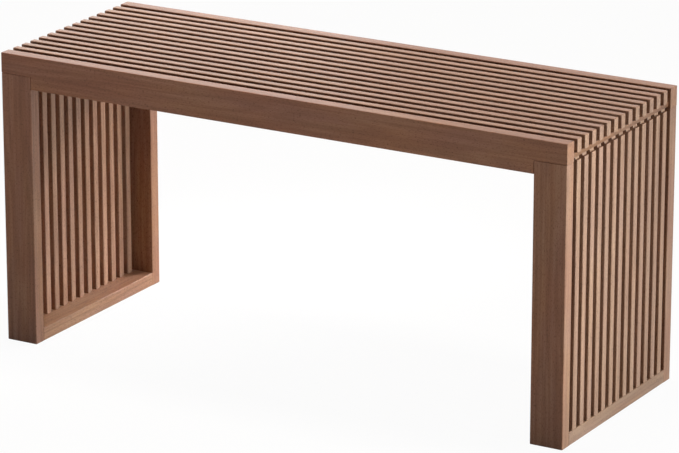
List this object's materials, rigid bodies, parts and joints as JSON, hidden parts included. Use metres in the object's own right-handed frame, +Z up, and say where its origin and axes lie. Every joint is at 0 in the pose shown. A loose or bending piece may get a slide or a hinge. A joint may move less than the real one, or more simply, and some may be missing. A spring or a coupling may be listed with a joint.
{
  "type": "bench",
  "caption": "Slatted dining bench: even seat slats between two deep rails, carried by two slatted leg panels on foot rails",
  "frame": {"origin": "on the floor under the middle of the seat", "axes": "X runs along the bench, the front long side faces -Y, Z is up"},
  "size_m": [0.944, 0.345, 0.45],
  "materials": {
    "frame_wood": "stained hardwood, satin, fine straight grain",
    "slat_wood": "stained hardwood, satin, fine straight grain",
    "inner_wood": "stained hardwood, sanded, hidden under the seat",
    "dowel_wood": "plain beech dowel",
    "screw_steel": "zinc-plated steel",
    "insert_brass": "plain brass"
  },
  "bodies": {
    "root": {"front_rail": "frame_wood", "back_rail": "frame_wood", "seat_slat_01": "slat_wood", "seat_slat_02": "slat_wood", "seat_slat_03": "slat_wood", "seat_slat_04": "slat_wood", "seat_slat_05": "slat_wood", "seat_slat_06": "slat_wood", "seat_slat_07": "slat_wood", "seat_slat_08": "slat_wood", "seat_slat_09": "slat_wood", "seat_slat_10": "slat_wood", "seat_slat_11": "slat_wood", "seat_slat_12": "slat_wood", "seat_slat_13": "slat_wood", "end_batten_left": "inner_wood", "mid_batten_left": "inner_wood", "cross_rail_left": "inner_wood", "end_batten_right": "inner_wood", "mid_batten_right": "inner_wood", "cross_rail_right": "inner_wood", "leg_front_left": "frame_wood", "leg_back_left": "frame_wood", "leg_front_right": "frame_wood", "leg_back_right": "frame_wood", "foot_rail_left": "frame_wood", "top_rail_left": "inner_wood", "foot_rail_right": "frame_wood", "top_rail_right": "inner_wood", "end_slat_left_01": "slat_wood", "end_slat_left_02": "slat_wood", "end_slat_left_03": "slat_wood", "end_slat_left_04": "slat_wood", "end_slat_left_05": "slat_wood", "end_slat_left_06": "slat_wood", "end_slat_left_07": "slat_wood", "end_slat_left_08": "slat_wood", "end_slat_left_09": "slat_wood", "end_slat_left_10": "slat_wood", "end_slat_left_11": "slat_wood", "end_slat_left_12": "slat_wood", "end_slat_left_13": "slat_wood", "end_slat_right_01": "slat_wood", "end_slat_right_02": "slat_wood", "end_slat_right_03": "slat_wood", "end_slat_right_04": "slat_wood", "end_slat_right_05": "slat_wood", "end_slat_right_06": "slat_wood", "end_slat_right_07": "slat_wood", "end_slat_right_08": "slat_wood", "end_slat_right_09": "slat_wood", "end_slat_right_10": "slat_wood", "end_slat_right_11": "slat_wood", "end_slat_right_12": "slat_wood", "end_slat_right_13": "slat_wood", "seat_screws": "screw_steel", "slat_dowels": "dowel_wood", "leg_dowels": "dowel_wood", "leg_bolts": "screw_steel", "threaded_inserts": "insert_brass"}
  },
  "joints": []
}
